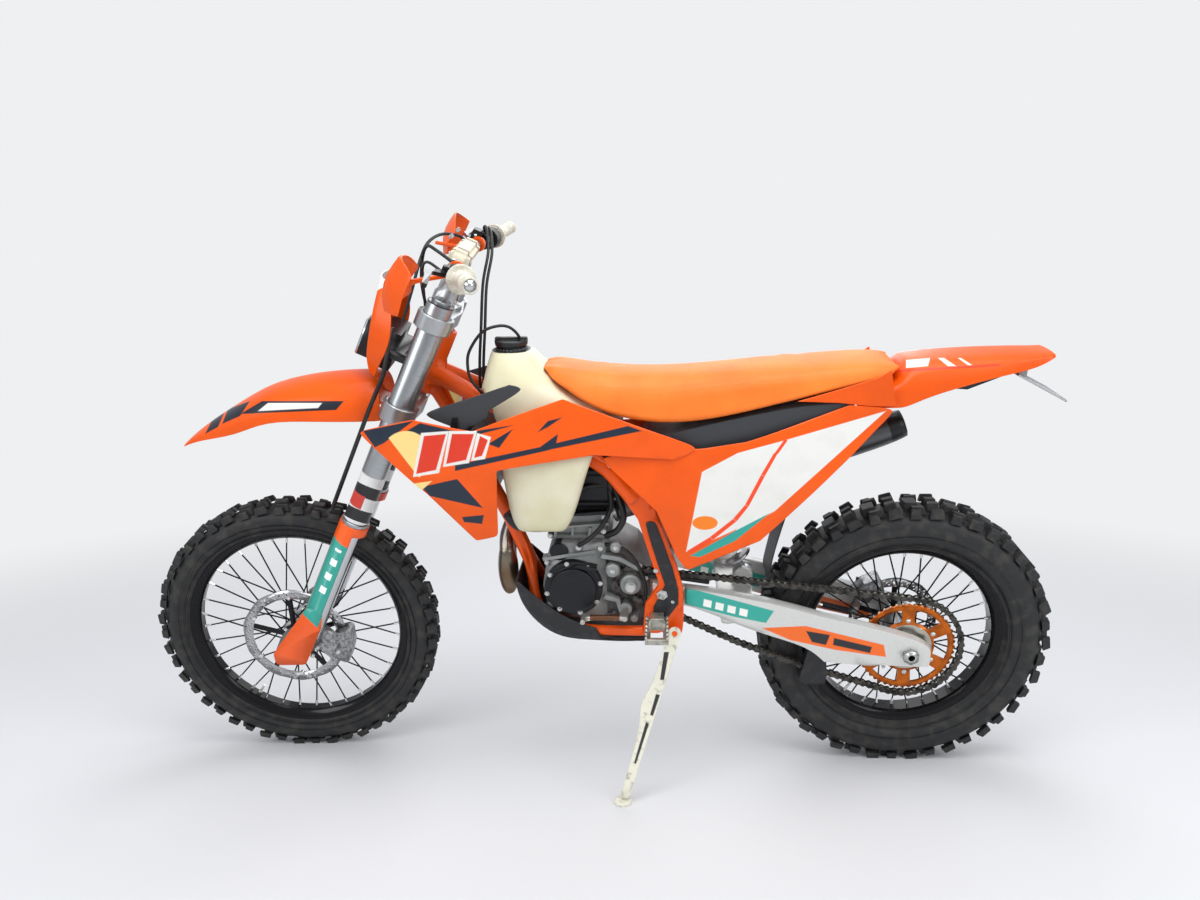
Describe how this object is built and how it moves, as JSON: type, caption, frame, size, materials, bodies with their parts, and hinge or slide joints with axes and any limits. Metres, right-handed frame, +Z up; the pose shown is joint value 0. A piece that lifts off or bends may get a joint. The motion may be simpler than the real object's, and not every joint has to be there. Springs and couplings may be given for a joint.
{
  "type": "enduro motorcycle",
  "caption": "Off-road motorcycle with knobbly tyres, long-travel fork, handguards and bench seat, leaning on its side stand; wheels, steering and stand move.",
  "frame": {"origin": "middle of the bounding box on the ground", "axes": "-X towards the front wheel, +Y to the motorcycle's right, +Z up; it leans to its left on the side stand"},
  "size_m": [2.1734, 0.807, 1.3761],
  "materials": {
    "tyre_rubber": "matte knobbly tread",
    "black_alloy": "black anodised",
    "silver_alloy": "cast and machined",
    "disc_steel": "ground",
    "plated_steel": "hard chrome",
    "orange_plastic": "moulded through in orange",
    "bar_alloy": "polished",
    "grip_rubber": "soft cream",
    "control_alloy": "black anodised",
    "lamp_plastic": "clear lens in a dark housing",
    "hose_rubber": "black",
    "black_plastic": "grained",
    "engine_alloy": "cast",
    "cover_alloy": "black coated",
    "header_steel": "heat tinted",
    "silencer_alloy": "satin",
    "tank_plastic": "translucent cream",
    "seat_vinyl": "gripper cover",
    "chain_steel": "oiled",
    "sprocket_alloy": "anodised",
    "shock_steel": "machined",
    "spring_paint": "white coat",
    "frame_paint": "orange powder coat",
    "radiator_alloy": "finned core"
  },
  "bodies": {
    "chassis": {"engine_case": "engine_alloy", "engine_cylinder": "silver_alloy", "engine_covers": "cover_alloy", "exhaust_header": "header_steel", "silencer": "silencer_alloy", "radiator_shrouds": "orange_plastic", "shroud_spoilers": "black_plastic", "side_panels": "orange_plastic", "fuel_tank": "tank_plastic", "seat": "seat_vinyl", "rear_mudguard": "orange_plastic", "swingarm": "silver_alloy", "drive_chain": "chain_steel", "chain_guides": "black_plastic", "rear_axle": "disc_steel", "rear_caliper": "control_alloy", "shock_absorber": "shock_steel", "shock_spring": "spring_paint", "main_frame": "frame_paint", "footpegs": "disc_steel", "foot_controls": "disc_steel", "frame_guards": "black_plastic", "airbox": "black_plastic", "radiators": "radiator_alloy", "intake": "hose_rubber", "tail_lamp": "black_plastic"},
    "steering": {"fork_legs": "plated_steel", "fork_tubes": "silver_alloy", "fork_guards": "orange_plastic", "front_axle": "disc_steel", "handlebar": "bar_alloy", "triple_clamps": "silver_alloy", "grips": "grip_rubber", "bar_pad": "grip_rubber", "hand_controls": "control_alloy", "handguards": "orange_plastic", "front_mudguard": "orange_plastic", "headlight_mask": "orange_plastic", "headlight": "lamp_plastic", "front_caliper": "control_alloy", "front_brake_hose": "hose_rubber"},
    "front_wheel": {"front_tyre": "tyre_rubber", "front_rim": "black_alloy", "front_hub": "silver_alloy", "front_disc": "disc_steel"},
    "rear_wheel": {"rear_tyre": "tyre_rubber", "rear_rim": "black_alloy", "rear_hub": "silver_alloy", "rear_disc": "disc_steel", "rear_sprocket": "sprocket_alloy"},
    "side_stand": {"side_stand": "spring_paint"}
  },
  "joints": [
    {"name": "steer", "type": "hinge", "parent": "chassis", "child": "steering", "pos_m": [-0.34563, 0.04066, 1.00116], "axis": [0.4381, -0.1858, 0.8795], "range_deg": [-49.35, 40.65]},
    {"name": "front_wheel_spin", "type": "hinge", "parent": "steering", "child": "front_wheel", "pos_m": [-0.74021, 0.17584, 0.33941], "axis": [-0.0686, 0.9686, 0.2388], "continuous": true},
    {"name": "rear_wheel_spin", "type": "hinge", "parent": "chassis", "child": "rear_wheel", "pos_m": [0.74665, 0.18145, 0.33771], "axis": [-0.0004, 0.9784, 0.2069], "continuous": true},
    {"name": "side_stand_fold", "type": "hinge", "parent": "chassis", "child": "side_stand", "pos_m": [0.20308, 0.03515, 0.37103], "axis": [-0.0199, -0.9714, 0.2367], "range_deg": [0, 90]}
  ]
}
